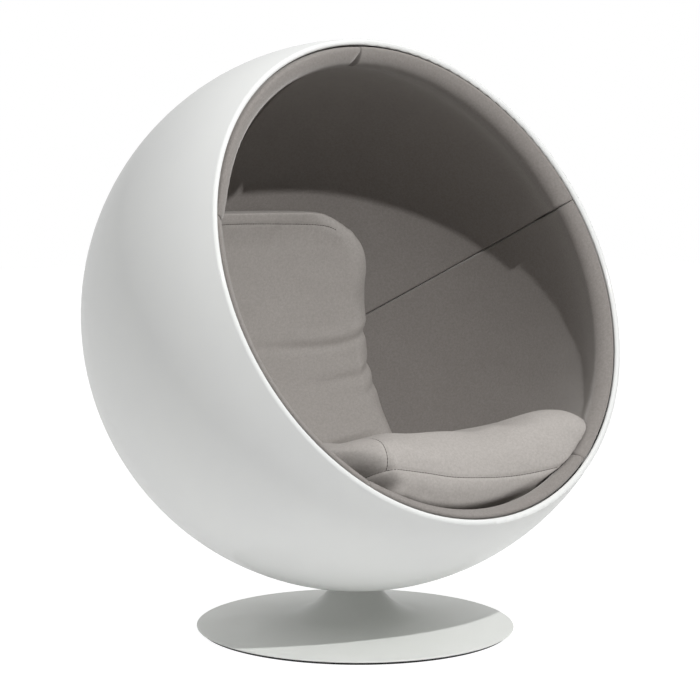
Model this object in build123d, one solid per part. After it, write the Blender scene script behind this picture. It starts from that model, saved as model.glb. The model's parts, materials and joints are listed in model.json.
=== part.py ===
from build123d import *
from math import acos, atan, cos, degrees, pi, radians, sin, sqrt, tan
import os

# Pod chair: a white ball-shaped shell on a round trumpet pedestal, lined inside with five padded
# gores, with a fitted seat cushion and a loose back cushion. Millimetres, +Z up, the origin on the
# floor on the swivel axis, and the opening towards -Y.

# The ball and its opening
BALL_RADIUS = 550.0
BALL_CENTRE_Z = 634.5
OPENING_TILT = radians(23.15)       # the opening's axis points this far above level
RIM_DISTANCE = 234.1                # from the ball's centre to the lip's centre line, along that axis
SHELL_WALL = 8.0
LIP_RADIUS = 6.0                    # the rolled edge is thicker than the wall
LIP_END = radians(0.6)              # the lip's inner side, round the ball from the rim
WALL_START = radians(1.6)           # where the lip has thinned down to the wall

# The padded lining
PANEL_COUNT = 5
LINING_RADIUS = 505.0               # the soft face, from the ball's centre
PANEL_GAP = 2.0                     # between two gores, where they are sewn
FIT_GAP = 0.3                       # between a soft piece and what it lies on
EDGE_SIDE = 536.0                   # outer side of the padded edge at the rim, clear of the lip
EDGE_TUCK = 5.0                     # radius where the cover turns down behind the lip
EDGE_SIDE_END = radians(2.5)        # where that side meets the shell, round the ball from the rim
BANDS_OFFSET = radians(3.5)         # where the flat bands start, round the ball from the rim
BAND_STEPS = 12                     # flat bands in the hidden and lined sides of the ball

# The seat cushion
SEAT_FRONT = 200.0                  # front face, from the ball's centre along the opening's axis
SEAT_CREST = -303.0                 # front edge of the sitting face, up the opening's plane
SEAT_SLOPE = radians(14.0)          # the sitting face falls towards the back
SEAT_CROWN = 2.0
SEAT_SADDLE = 4000.0                # radius of the sitting face from side to side
SEAT_SWEEP = radians(10.0)          # turned to each side on that radius, past the ball
SEAT_CREST_ROUND = 60.0
SEAT_EDGE_ROUND = 30.0

# The back cushion
BACK_HALF_WIDTH = 292.0
BACK_TOP = 206.0                    # above the ball's centre
BACK_FOOT = -420.0                  # below the sitting face, which trims it
BACK_CORNER = 150.0
BACK_FRONT_RADIUS = 520.0           # the crowned front face
BACK_FRONT_CENTRE_Y = -160.0
BACK_FRONT_ROUND = 35.0
BACK_REAR_ROUND = 20.0
BACK_ON_SEAT_GAP = 0.8

# The pedestal, a spun steel trumpet
DISC_RADIUS = 322.0
DISC_SLOPE = radians(5.6)
SKIN_WALL = 3.0
FLARE_RADIUS = 119.8
FLARE_CENTRE = (154.3, 145.1)       # radius and height of the flare's centre
NECK_TOP_Z = 84.0
GLIDE_INNER = 300.0
GLIDE_OUTER = 314.0

# The ballast and what fastens it
PLATE_RADIUS = 250.0
PLATE_BOTTOM_Z = 4.0
PLATE_TOP_Z = 12.0
PLATE_HOLE = 24.0
STUD_COUNT = 6
STUD_CIRCLE = 200.0
STUD_RADIUS = 3.0
STUD_HOLE = 3.3
NUT_ACROSS_FLATS = 10.0
NUT_HEIGHT = 2.8

# The bearing housing
HOUSING_RADIUS = 30.0
HOUSING_TOP_Z = 70.0
FLANGE_RADIUS = 62.0
FLANGE_HEIGHT = 6.0
SCREW_COUNT = 6
SCREW_CIRCLE = 46.0
SCREW_RADIUS = 3.0
SCREW_HEAD = 6.0
BUSH_RADIUS = 22.0
BUSH_SHOULDER = 18.0
UPPER_BUSH_Z = 50.0
UPPER_BUSH_FLANGE = 28.0
UPPER_BUSH_TOP_Z = 74.0
LOWER_BUSH_Z = 20.0
LOWER_BUSH_TOP_Z = 34.0
PLUG_HEIGHT = 3.0

# What turns with the pod
SPINDLE_RADIUS = 12.5
RUNNING_CLEARANCE = 0.05
HUB_RADIUS = 46.0
HUB_BOTTOM_Z = 76.6
HUB_TOP_Z = 86.6                    # the ball's outside is moulded flat at this height
SPINDLE_BOTTOM_Z = 13.0
GROOVE_Z = 16.2
GROOVE_HEIGHT = 1.7
GROOVE_RADIUS = 11.5
RING_RADIUS = 15.0
RING_HEIGHT = 1.6
WASHER_RADIUS = 21.0
WASHER_HEIGHT = 2.0
BOLT_COUNT = 6
BOLT_CIRCLE = 30.0
BOLT_RADIUS = 4.0
BOLT_HOLE = 4.3
BOLT_END_GAP = 2.0                  # the bolts stop short of the hub's underside
BOLT_HEAD_ACROSS_FLATS = 13.0
BOLT_HEAD_HEIGHT = 5.3
BOLT_WASHER_RADIUS = 8.0
BOLT_WASHER_HEIGHT = 1.6
BOSS_RADIUS = 75.0
BOSS_TOP_Z = 100.0
MOUNT_PLATE_RADIUS = 70.0
MOUNT_PLATE_HEIGHT = 5.0
POCKET_RADIUS = 78.0                # hollow under the bottom gore, round the bolt heads
POCKET_TOP_Z = 116.0

# Values worked out from those above
RIM_ANGLE = acos(RIM_DISTANCE / (BALL_RADIUS - LIP_RADIUS))
SHELL_INNER = BALL_RADIUS - SHELL_WALL
LINING_BACK = SHELL_INNER - FIT_GAP
CUSHION_BALL = LINING_RADIUS - 0.5
EDGE_ROUND = EDGE_SIDE - EDGE_TUCK - LINING_RADIUS
EDGE_END = RIM_ANGLE + atan((EDGE_ROUND - EDGE_TUCK) / LINING_RADIUS)
BANDS_START = RIM_ANGLE + BANDS_OFFSET
SEAM_ANGLE = 360.0 / PANEL_COUNT
REACH = 2 * BALL_RADIUS             # far enough to pass right through the ball
BALL_CENTRE = Pos(0, 0, BALL_CENTRE_Z)
OPENING = Plane(
    origin=(0, 0, BALL_CENTRE_Z),
    x_dir=(1, 0, 0),
    z_dir=(0, -cos(OPENING_TILT), sin(OPENING_TILT)),
).location


def polar(distance, angle):
    """A point of an outline, the angle turned from the outline's upward axis."""
    return (distance * sin(angle), distance * cos(angle))


def at_rim(distance, forward):
    """A point near the rim: along the ball's radius there, and forward of it, square to that radius."""
    radius = distance * sin(RIM_ANGLE) - forward * cos(RIM_ANGLE)
    return (radius, distance * cos(RIM_ANGLE) + forward * sin(RIM_ANGLE))


def filled(*lines):
    """The face inside a closed run of lines."""
    return make_face(Curve() + list(lines))


def turned(*lines):
    """Solid turned about Z from a closed outline of (radius, height) points."""
    return revolve(Plane.XZ * filled(*lines), Axis.Z)


def upright(radius, bottom, top):
    """Round bar or hole between two heights."""
    return Pos(0, 0, bottom) * Cylinder(radius, top - bottom, align=(Align.CENTER, Align.CENTER, Align.MIN))


def hexagon(across_flats, bottom, top):
    """Hexagonal bar between two heights."""
    outline = RegularPolygon(across_flats / 2, 6, major_radius=False)
    return Pos(0, 0, bottom) * extrude(outline, top - bottom)


def ring_of(count, circle, piece):
    """The same piece repeated round the swivel axis."""
    return [Rot(0, 0, 360 * k / count) * Pos(circle, 0, 0) * piece for k in range(count)]


def outer_bands(distance):
    """Flat bands inside a sphere, from near the rim to the back of the ball, their corners on it."""
    step = (pi - BANDS_START) / BAND_STEPS
    return Polyline([polar(distance, BANDS_START + step * k) for k in range(BAND_STEPS + 1)])


def inner_bands(distance):
    """Flat bands outside a sphere, their middles on it, square to its axis at the back."""
    half_step = (pi - EDGE_END) / (2 * BAND_STEPS)
    corners = [polar(distance / cos(half_step), EDGE_END + half_step * (2 * k + 1)) for k in range(BAND_STEPS)]
    return Polyline([polar(distance, EDGE_END)] + corners + [(0, -distance)])


def pod_shell():
    """Moulded ball with a rolled lip, a flat for the hub outside and a boss for the bolts inside."""
    lip_inner = BALL_RADIUS - 2 * LIP_RADIUS
    lip_nose = at_rim(BALL_RADIUS - LIP_RADIUS, LIP_RADIUS)
    lip_back = polar(lip_inner, RIM_ANGLE + LIP_END)
    wall_start = polar(SHELL_INNER, RIM_ANGLE + WALL_START)
    outside = ThreePointArc(
        (0, -BALL_RADIUS), polar(BALL_RADIUS, (RIM_ANGLE + pi) / 2), polar(BALL_RADIUS, RIM_ANGLE)
    )
    lip = ThreePointArc(polar(BALL_RADIUS, RIM_ANGLE), lip_nose, polar(lip_inner, RIM_ANGLE))
    ball = OPENING * turned(
        outside,
        lip,
        Polyline([polar(lip_inner, RIM_ANGLE), lip_back, wall_start, polar(SHELL_INNER, BANDS_START)]),
        outer_bands(SHELL_INNER),
        Line((0, -SHELL_INNER), (0, -BALL_RADIUS)),
    )
    boss = upright(BOSS_RADIUS, HUB_TOP_Z, BOSS_TOP_Z) & (BALL_CENTRE * Sphere(SHELL_INNER + SHELL_WALL / 2))
    below_flat = upright(BALL_RADIUS, 0, HUB_TOP_Z)
    holes = ring_of(BOLT_COUNT, BOLT_CIRCLE, upright(BOLT_HOLE, HUB_TOP_Z, BOSS_TOP_Z))
    return ball + boss - below_flat - holes


def lining_gore():
    """One padded gore, in the opening's frame and centred on +X; its edge rolls over at the rim."""
    side = at_rim(EDGE_SIDE, 0)
    nose = at_rim(EDGE_SIDE - EDGE_TUCK, EDGE_TUCK)
    tuck_middle = at_rim(EDGE_SIDE - EDGE_TUCK * (1 - cos(pi / 4)), EDGE_TUCK * sin(pi / 4))
    round_drop = EDGE_ROUND * (1 - cos(pi / 4))
    round_middle = at_rim(LINING_RADIUS + round_drop, EDGE_TUCK - round_drop)
    side_end = polar(EDGE_SIDE, RIM_ANGLE + EDGE_SIDE_END)
    profile = filled(
        ThreePointArc(side, tuck_middle, nose),
        ThreePointArc(nose, round_middle, polar(LINING_RADIUS, EDGE_END)),
        inner_bands(LINING_RADIUS),
        Line((0, -LINING_RADIUS), (0, -LINING_BACK)),
        outer_bands(LINING_BACK),
        Polyline([polar(LINING_BACK, BANDS_START), side_end, side]),
    )
    width = SEAM_ANGLE - degrees(PANEL_GAP / nose[0])
    return Rot(0, 0, -width / 2) * revolve(Plane.XZ * profile, Axis.Z, width)


def lining_panels():
    """The gores round the opening's axis; the one at the bottom is hollow round the bolt heads."""
    gore = lining_gore()
    pocket = upright(POCKET_RADIUS, HUB_TOP_Z, POCKET_TOP_Z)
    first = 90 - SEAM_ANGLE / 2
    panels = [OPENING * Rot(0, 0, first - SEAM_ANGLE * k) * gore for k in range(PANEL_COUNT)]
    return {f"lining_panel_{k + 1}": panel - pocket for k, panel in enumerate(panels)}


def opening_point(along, up):
    """A point of the ball's middle plane: along the opening's axis, and up its plane."""
    depth = -cos(OPENING_TILT) * along + sin(OPENING_TILT) * up
    return Vector(0, depth, sin(OPENING_TILT) * along + cos(OPENING_TILT) * up)


def seat_block(grow=0.0):
    """The seat's side profile swept sideways on the saddle's radius, round the ball's centre."""
    crest = opening_point(SEAT_FRONT + grow, SEAT_CREST + grow)
    foot = opening_point(SEAT_FRONT + grow, -REACH)
    rear = Vector(0, BALL_RADIUS, crest.Z - (BALL_RADIUS - crest.Y) * tan(SEAT_SLOPE))
    low = Vector(0, BALL_RADIUS, -REACH)
    crown = (crest + rear) / 2 + Vector(0, 0, SEAT_CROWN)
    profile = Face(
        Wire(
            [
                Edge.make_line(foot, crest),
                Edge.make_three_point_arc(crest, crown, rear),
                Edge.make_line(rear, low),
                Edge.make_line(low, foot),
            ]
        )
    )
    front_edge = profile.vertices().sort_by_distance(crest)[0]
    profile = profile.fillet_2d(SEAT_CREST_ROUND, [front_edge])
    saddle_axis = Axis((0, 0, SEAT_SADDLE + SEAT_CREST), (0, 1, 0))
    sweep = degrees(SEAT_SWEEP)
    return revolve(profile, saddle_axis, 2 * sweep).rotate(saddle_axis, -sweep)


def edges_on_ball(solid, centre, radius, tolerance=0.5):
    """Edges of a solid whose ends and middle lie on a sphere."""
    return [
        edge
        for edge in solid.edges()
        if all(abs((edge @ t - centre).length - radius) < tolerance for t in (0, 0.5, 1))
    ]


def seat_cushion():
    """Seat that fills the bottom of the ball, its sitting face crowned, saddled and sloping back."""
    block = seat_block() & Sphere(CUSHION_BALL)
    rims = edges_on_ball(block, Vector(0, 0, 0), CUSHION_BALL)
    return BALL_CENTRE * fillet(rims, SEAT_EDGE_ROUND)


def back_cushion():
    """Loose cushion that lies against the back of the ball and stands on the seat."""
    outline = Pos(0, BACK_TOP) * Rectangle(
        2 * BACK_HALF_WIDTH, BACK_TOP - BACK_FOOT, align=(Align.CENTER, Align.MAX)
    )
    outline = fillet(outline.vertices().sort_by(Axis.Y)[-2:], BACK_CORNER)
    body = extrude(Plane.XZ * outline, -REACH)
    front_centre = Vector(0, BACK_FRONT_CENTRE_Y, 0)
    body = body & Sphere(CUSHION_BALL)
    body = body - Pos(*front_centre) * Sphere(BACK_FRONT_RADIUS) - seat_block(BACK_ON_SEAT_GAP)
    body = fillet(edges_on_ball(body, front_centre, BACK_FRONT_RADIUS), BACK_FRONT_ROUND)
    body = fillet(edges_on_ball(body, Vector(0, 0, 0), CUSHION_BALL), BACK_REAR_ROUND)
    return BALL_CENTRE * body


def pedestal_skin():
    """Spun trumpet: a neck that flares into a shallow disc with a rounded edge."""
    down = Vector(-sin(DISC_SLOPE), -cos(DISC_SLOPE))
    outward = Vector(cos(DISC_SLOPE), -sin(DISC_SLOPE))
    centre = Vector(*FLARE_CENTRE)

    def flare(radius):
        """The flare from the neck's top to where it runs straight, at a distance from its centre."""
        top_drop = NECK_TOP_Z - centre.Y
        top = Vector(centre.X - sqrt(radius**2 - top_drop**2), NECK_TOP_Z)
        middle = centre + radius * Vector(-cos(radians(45)), -sin(radians(45)))
        return top, middle, centre + radius * down

    top, middle, foot = flare(FLARE_RADIUS)
    under_top, under_middle, under_foot = flare(FLARE_RADIUS + SKIN_WALL)
    run = (DISC_RADIUS - (foot.X + under_foot.X) / 2) / cos(DISC_SLOPE) - SKIN_WALL / 2
    edge = foot + run * outward
    under_edge = under_foot + run * outward
    nose = (edge + under_edge) / 2 + SKIN_WALL / 2 * outward
    return turned(
        ThreePointArc(top, middle, foot),
        Line(foot, edge),
        ThreePointArc(edge, nose, under_edge),
        Line(under_edge, under_foot),
        ThreePointArc(under_foot, under_middle, under_top),
        Line(under_top, top),
    )


def below(piece, skin):
    """What is left of an upright piece under the pedestal's skin."""
    return (piece - skin).solids().sort_by(Axis.Z)[0]


def glide_ring(skin):
    """Rubber ring glued under the disc, which the chair stands on."""
    ring = upright(GLIDE_OUTER, 0, PLATE_TOP_Z) - upright(GLIDE_INNER, 0, PLATE_TOP_Z)
    return below(ring, skin)


def ballast_plate():
    """Steel disc that weights the foot, drilled for its studs and for the housing's screws."""
    plate = upright(PLATE_RADIUS, PLATE_BOTTOM_Z, PLATE_TOP_Z) - upright(PLATE_HOLE, PLATE_BOTTOM_Z, PLATE_TOP_Z)
    stud_holes = ring_of(STUD_COUNT, STUD_CIRCLE, upright(STUD_HOLE, PLATE_BOTTOM_Z, PLATE_TOP_Z))
    return plate - stud_holes - housing_screws()


def plate_studs(skin):
    """Weld studs under the disc that carry the ballast."""
    bottom = PLATE_BOTTOM_Z - NUT_HEIGHT
    stud = below(upright(STUD_RADIUS, bottom, NECK_TOP_Z), Pos(-STUD_CIRCLE, 0, 0) * skin)
    return Compound(ring_of(STUD_COUNT, STUD_CIRCLE, stud))


def plate_nuts():
    """Thin nuts that hold the ballast up to the disc."""
    bottom = PLATE_BOTTOM_Z - NUT_HEIGHT
    nut = hexagon(NUT_ACROSS_FLATS, bottom, PLATE_BOTTOM_Z) - upright(STUD_RADIUS, bottom, PLATE_BOTTOM_Z)
    return Compound(ring_of(STUD_COUNT, STUD_CIRCLE, nut))


def housing_screws():
    """Countersunk screws up through the ballast into the housing's flange."""
    head = Pos(0, 0, PLATE_BOTTOM_Z) * Cone(
        SCREW_HEAD, SCREW_RADIUS, SCREW_HEAD - SCREW_RADIUS, align=(Align.CENTER, Align.CENTER, Align.MIN)
    )
    shank = upright(SCREW_RADIUS, PLATE_BOTTOM_Z, PLATE_TOP_Z + FLANGE_HEIGHT)
    return Compound(ring_of(SCREW_COUNT, SCREW_CIRCLE, head + shank))


def bearing_housing():
    """Turned tube on a flange, bored for the two bushes, with a shoulder between them."""
    bore = BUSH_RADIUS
    housing = turned(
        Polyline(
            [
                (bore, PLATE_TOP_Z),
                (FLANGE_RADIUS, PLATE_TOP_Z),
                (FLANGE_RADIUS, PLATE_TOP_Z + FLANGE_HEIGHT),
                (HOUSING_RADIUS, PLATE_TOP_Z + FLANGE_HEIGHT),
                (HOUSING_RADIUS, HOUSING_TOP_Z),
                (bore, HOUSING_TOP_Z),
                (bore, UPPER_BUSH_Z),
                (BUSH_SHOULDER, UPPER_BUSH_Z),
                (BUSH_SHOULDER, LOWER_BUSH_TOP_Z),
                (bore, LOWER_BUSH_TOP_Z),
            ],
            close=True,
        )
    )
    return housing - housing_screws()


def bottom_plug():
    """Cap that closes the hole in the ballast under the spindle."""
    return upright(PLATE_HOLE, PLATE_BOTTOM_Z, PLATE_BOTTOM_Z + PLUG_HEIGHT)


def upper_bush():
    """Flanged plain bush at the top of the housing."""
    sleeve = upright(BUSH_RADIUS, UPPER_BUSH_Z, HOUSING_TOP_Z)
    flange = upright(UPPER_BUSH_FLANGE, HOUSING_TOP_Z, UPPER_BUSH_TOP_Z)
    return sleeve + flange - upright(SPINDLE_RADIUS + RUNNING_CLEARANCE, UPPER_BUSH_Z, UPPER_BUSH_TOP_Z)


def lower_bush():
    """Plain bush at the bottom of the housing, up against the shoulder."""
    bore = upright(SPINDLE_RADIUS + RUNNING_CLEARANCE, LOWER_BUSH_Z, LOWER_BUSH_TOP_Z)
    return upright(BUSH_RADIUS, LOWER_BUSH_Z, LOWER_BUSH_TOP_Z) - bore


def thrust_washer():
    """Hard washer on the bush's flange that the hub turns on."""
    hole = upright(SPINDLE_RADIUS + RUNNING_CLEARANCE, UPPER_BUSH_TOP_Z, HUB_BOTTOM_Z)
    return upright(UPPER_BUSH_FLANGE, UPPER_BUSH_TOP_Z, HUB_BOTTOM_Z) - hole


def swivel_hub():
    """Round flange under the ball that turns on the washer and takes the pod's bolts."""
    hub = upright(HUB_RADIUS, HUB_BOTTOM_Z, HUB_TOP_Z) - upright(SPINDLE_RADIUS, HUB_BOTTOM_Z, HUB_TOP_Z)
    return hub - ring_of(BOLT_COUNT, BOLT_CIRCLE, upright(BOLT_RADIUS, HUB_BOTTOM_Z, HUB_TOP_Z))


def swivel_spindle():
    """Shaft welded into the hub, grooved near its foot for the retaining ring."""
    shaft = upright(SPINDLE_RADIUS, SPINDLE_BOTTOM_Z, HUB_TOP_Z)
    groove = upright(SPINDLE_RADIUS, GROOVE_Z, GROOVE_Z + GROOVE_HEIGHT)
    return shaft - groove + upright(GROOVE_RADIUS, GROOVE_Z, GROOVE_Z + GROOVE_HEIGHT)


def retaining_washer():
    """Thrust washer that stops the spindle lifting out of the lower bush."""
    bottom = GROOVE_Z + GROOVE_HEIGHT
    hole = upright(SPINDLE_RADIUS + RUNNING_CLEARANCE, bottom, bottom + WASHER_HEIGHT)
    return upright(WASHER_RADIUS, bottom, bottom + WASHER_HEIGHT) - hole


def retaining_ring():
    """Open spring ring in the spindle's groove."""
    bottom = GROOVE_Z + GROOVE_HEIGHT - RING_HEIGHT
    top = GROOVE_Z + GROOVE_HEIGHT
    ring = upright(RING_RADIUS, bottom, top) - upright(GROOVE_RADIUS, bottom, top)
    mouth = Pos(RING_RADIUS, 0, (bottom + top) / 2) * Box(RING_RADIUS, GROOVE_RADIUS, RING_HEIGHT)
    return ring - mouth


def mount_plate():
    """Steel disc inside the ball that spreads the bolts' load over the boss."""
    top = BOSS_TOP_Z + MOUNT_PLATE_HEIGHT
    holes = ring_of(BOLT_COUNT, BOLT_CIRCLE, upright(BOLT_HOLE, BOSS_TOP_Z, top))
    return upright(MOUNT_PLATE_RADIUS, BOSS_TOP_Z, top) - holes


def bolt_washers():
    """Washers under the bolt heads."""
    bottom = BOSS_TOP_Z + MOUNT_PLATE_HEIGHT
    top = bottom + BOLT_WASHER_HEIGHT
    washer = upright(BOLT_WASHER_RADIUS, bottom, top) - upright(BOLT_HOLE, bottom, top)
    return Compound(ring_of(BOLT_COUNT, BOLT_CIRCLE, washer))


def hub_bolts():
    """Bolts down through the plate and the boss into the hub."""
    seat = BOSS_TOP_Z + MOUNT_PLATE_HEIGHT + BOLT_WASHER_HEIGHT
    head = hexagon(BOLT_HEAD_ACROSS_FLATS, seat, seat + BOLT_HEAD_HEIGHT)
    bolt = head + upright(BOLT_RADIUS, HUB_BOTTOM_Z + BOLT_END_GAP, seat)
    return Compound(ring_of(BOLT_COUNT, BOLT_CIRCLE, bolt))


def build_nodes():
    """Every piece of the chair by its name."""
    skin = pedestal_skin()
    nodes = {
        "pedestal_skin": skin,
        "glide_ring": glide_ring(skin),
        "ballast_plate": ballast_plate(),
        "plate_studs": plate_studs(skin),
        "plate_nuts": plate_nuts(),
        "bearing_housing": bearing_housing(),
        "housing_screws": housing_screws(),
        "bottom_plug": bottom_plug(),
        "upper_bush": upper_bush(),
        "lower_bush": lower_bush(),
        "thrust_washer": thrust_washer(),
        "swivel_hub": swivel_hub(),
        "swivel_spindle": swivel_spindle(),
        "retaining_washer": retaining_washer(),
        "retaining_ring": retaining_ring(),
        "pod_shell": pod_shell(),
        "mount_plate": mount_plate(),
        "bolt_washers": bolt_washers(),
        "hub_bolts": hub_bolts(),
        "seat_cushion": seat_cushion(),
        "back_cushion": back_cushion(),
    }
    nodes.update(lining_panels())
    return nodes


os.makedirs("parts", exist_ok=True)
for name, solid in build_nodes().items():
    export_step(solid, f"parts/{name}.step")
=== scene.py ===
import json
import math
from collections import namedtuple

import bmesh
import bpy
import numpy as np
from mathutils import Matrix, Vector
from mathutils.bvhtree import BVHTree


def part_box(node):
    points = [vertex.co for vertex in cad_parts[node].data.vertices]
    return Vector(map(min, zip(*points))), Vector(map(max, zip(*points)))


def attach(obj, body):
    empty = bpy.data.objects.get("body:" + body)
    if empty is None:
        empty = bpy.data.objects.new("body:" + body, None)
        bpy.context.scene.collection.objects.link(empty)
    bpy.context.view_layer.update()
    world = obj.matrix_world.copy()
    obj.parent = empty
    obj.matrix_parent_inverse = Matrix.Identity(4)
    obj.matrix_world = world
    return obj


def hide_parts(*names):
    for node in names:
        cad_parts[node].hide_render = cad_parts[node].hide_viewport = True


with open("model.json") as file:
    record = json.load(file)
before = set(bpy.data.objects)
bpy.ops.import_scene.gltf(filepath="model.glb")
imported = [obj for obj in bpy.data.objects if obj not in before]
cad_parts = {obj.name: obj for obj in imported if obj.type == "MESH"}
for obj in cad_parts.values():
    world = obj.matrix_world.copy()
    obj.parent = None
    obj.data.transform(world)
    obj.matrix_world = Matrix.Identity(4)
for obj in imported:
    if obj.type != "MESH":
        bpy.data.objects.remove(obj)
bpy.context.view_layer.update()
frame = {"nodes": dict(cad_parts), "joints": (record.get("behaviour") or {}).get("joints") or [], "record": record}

# Pod chair. Metres, in the row's frame: +Z up, the opening towards -Y, the origin on the floor.
NODES = frame["nodes"]

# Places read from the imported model
SHELL_LOW, SHELL_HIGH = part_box("pod_shell")
BALL_RADIUS = (SHELL_HIGH.x - SHELL_LOW.x) / 2
BALL_CENTRE = np.array([0.0, 0.0, SHELL_HIGH.z - BALL_RADIUS])
LIFT_OUT = next(j for j in frame["joints"] if j["name"] == "back_cushion_lift_out")
OPENING_AXIS = np.array(LIFT_OUT["axis"]) / np.linalg.norm(LIFT_OUT["axis"])
OPENING_SIDE = np.array([1.0, 0.0, 0.0])
OPENING_UP = np.cross(OPENING_AXIS, OPENING_SIDE)

# The lining
LIP_RADIUS = 0.006
RIM_DISTANCE = 0.2341
RIM_ANGLE = math.acos(RIM_DISTANCE / (BALL_RADIUS - LIP_RADIUS))
LINING_RADIUS = 0.505
LINING_BACK = 0.5405
EDGE_SIDE = 0.5350
SEAM_GAP = 0.0006
SEAM_SHOULDER = 0.0045      # how far the cloth rounds down into a seam
PULL_REACH = 0.030          # how far along the rim a seam draws the edge in
DOME_REACH = 0.045          # how far into the ball a gore's rounded end is felt
BULGE_REACH = 0.045         # how far into the ball the padded edge is thicker
SEAM_HOLLOW = 0.0012        # how deep and how wide the soft face sinks towards a seam
SEAM_HOLLOW_REACH = 0.016
FACE_WAVE = 0.0011          # how uneven the soft face is, once this many rows from the padded edge
FACE_WAVE_ROWS = 12
FACE_ROWS = 110
HIDDEN_ROWS = (2.6, 1.3)    # a gore's first rows, behind the lip, and its back's first: degrees past the rim
BACK_START = 3.4
POLE = 1e-4                 # the gores stop this far short of the back's middle, in radians

# The padded edges as one ring, which the cushions keep off
RING_RADIUS = 0.030
RING_REACH = LINING_RADIUS - 0.003 + RING_RADIUS
RING_FORWARD = 0.007 - RING_RADIUS

# The gores clockwise from the top, as someone sees them who faces the opening. Each is cut and
# stuffed by hand: where it starts and ends (degrees), the radius of its padded edge, how far that
# edge stands forward of the rim, how much thicker it is than the lining, and at its start and its
# end how much it is drawn in and how round it is.
Gore = namedtuple("Gore", "start end edge forward bulge pulls domes")
GORES = [
    Gore(-2.0, 71.5, 0.034, 0.009, 0.009, (0.001, 0.002), (0.003, 0.005)),
    Gore(71.5, 145.0, 0.030, 0.007, 0.003, (0.002, 0.002), (0.005, 0.006)),
    Gore(145.0, 215.2, 0.028, 0.007, 0.003, (0.002, 0.003), (0.005, 0.006)),
    Gore(215.2, 286.0, 0.026, 0.007, 0.000, (0.003, 0.005), (0.006, 0.008)),
    Gore(286.0, 358.0, 0.034, 0.012, 0.010, (0.009, 0.004), (0.010, 0.026)),
]

# Cushions, from the ball's centre: side is towards +X, up is up the opening's plane
VOXEL = 0.0055
# Dark beaded threads along the seams are painted shade: they stand in for the shade in each seam's crevice
SHADE_THREAD_RADIUS = 0.0009
SHADE_THREAD_SIDES = 6
SHADE_THREAD_PITCH = 0.0065
SEAT_FRONT = 0.200
SEAT_PANEL_SIDE = 0.178     # where the seat's middle panel ends
SEAT_SWELL = 0.007          # how far the stuffing may push a cover out
BACK_SWELL = 0.005
STUFFING_PRESSURE = 4.0
STUFFING_FRAMES = 20
COVER_CLEARANCE = 0.0012    # from the lining, before the seams are sewn and after
SEWN_CLEARANCE = 0.0008
WING_RECESS = 0.080         # how far the seat's left end falls back, and how much further near the lining
WING_TUCK = 0.085
LOW_FALL = 0.011            # how far the front falls back below its low seam
HUMP_FORWARD = 0.019        # how far the seat's right end stands forward, aside and outward
HUMP_ASIDE = 0.009
HUMP_OUTWARD = 0.010
TIP_DROP = 0.014            # how far the tip of that end drops
CURL_BACK = 0.022           # how far the foot of the front turns back and in
CURL_IN = 0.011
SEAT_POCKETS = [            # hollows at the wing's foot: side, up, stretch along each, width, depth
    (-0.243, -0.366, 1.5, 1.0, 0.020, 0.042),
    (-0.205, -0.392, 1.3, 0.8, 0.018, 0.034),
]
SEAT_RISES = [              # rises and dips of the seat's top: side, width, height
    (0.236, 0.062, 0.013), (0.085, 0.062, -0.010), (-0.140, 0.050, 0.006),
]
SEAT_LOW_SEAM = [
    (-0.262, -0.376), (-0.225, -0.364), (-0.192, -0.360), (-0.112, -0.375),
    (-0.039, -0.391), (0.053, -0.401), (0.150, -0.404), (0.240, -0.400),
]
BACK_FACE_CENTRE = -0.160   # the back cushion's front is part of a ball round a point in front of the centre
BACK_FACE_RADIUS = 0.520
BACK_SEAM_HEIGHT = 0.176    # the seam under the back cushion's top edge, above the ball's centre
PUCKER_DROP = 0.022         # how far under that seam the cloth puckers, how wide and how deep
PUCKER_WIDTH = 0.026
PUCKER_DEPTH = 0.0014
BACK_SEAM = [
    (-0.235, 0.130), (-0.200, 0.156), (-0.155, 0.171), (-0.080, 0.176),
    (0.045, 0.175), (0.155, 0.171), (0.200, 0.156), (0.235, 0.130),
]
SEAM_ENDS = 12              # points left without thread at each end of that seam
TOP_FLATNESS = 0.95         # how flat the front stays under the top edge, and how much less at the corners
CORNER_GIVE = 0.75
TOP_DROP = 0.005
BACK_FOLDS = [              # where the back cushion has slumped: (side, height) corners, depth, width
    ([(-0.10, -0.094), (0.03, -0.094), (0.11, -0.096), (0.19, -0.093), (0.24, -0.081), (0.31, -0.054)],
     0.0058, 0.011),
    ([(0.06, -0.172), (0.15, -0.172), (0.235, -0.158), (0.271, -0.143), (0.32, -0.112)], 0.0050, 0.010),
    ([(0.16, -0.208), (0.22, -0.202), (0.27, -0.186), (0.31, -0.160)], 0.0030, 0.010),
    ([(-0.31, -0.060), (-0.23, -0.086), (-0.12, -0.100)], 0.0055, 0.011),
    ([(-0.31, -0.120), (-0.25, -0.158), (-0.12, -0.170)], 0.0045, 0.010),
]
FOLD_RIDGE = 0.35           # how high the cloth stands above a fold, of the fold's depth

# Light and floor
KEY_PLACE = (-0.311, -2.342, 2.483)
KEY_TARGET = (0, 0, 0.6)
KEY_SIZE = 0.06
KEY_WATTS = 69.0
# The surround's light by how far a ray points ahead of the chair, or to its right: from, to, light at each
SKY_BEHIND = (-1.0, -0.2, 0.45, 1.0)
SKY_BEFORE = (0.10, 0.60, 1.0, 0.10)
SKY_LEFT = (-1.0, 0.0, 0.72, 1.0)
FLOOR_HALF = 12.0
FLOOR_TURN = (-1.20, -0.75, 0.0, 1.0)   # where along Y the floor goes from dim to pale
FLOOR_DIM = (0.28, 0.28, 0.28, 1)       # what the floor throws back far in front, and near and behind
FLOOR_PALE = (0.94, 0.94, 0.94, 1)
FLOOR_SHADED = (0.25, 0.25, 0.25, 1)    # the part of the seen floor that takes the shadow
FLOOR_GLOW = 0.93

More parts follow.
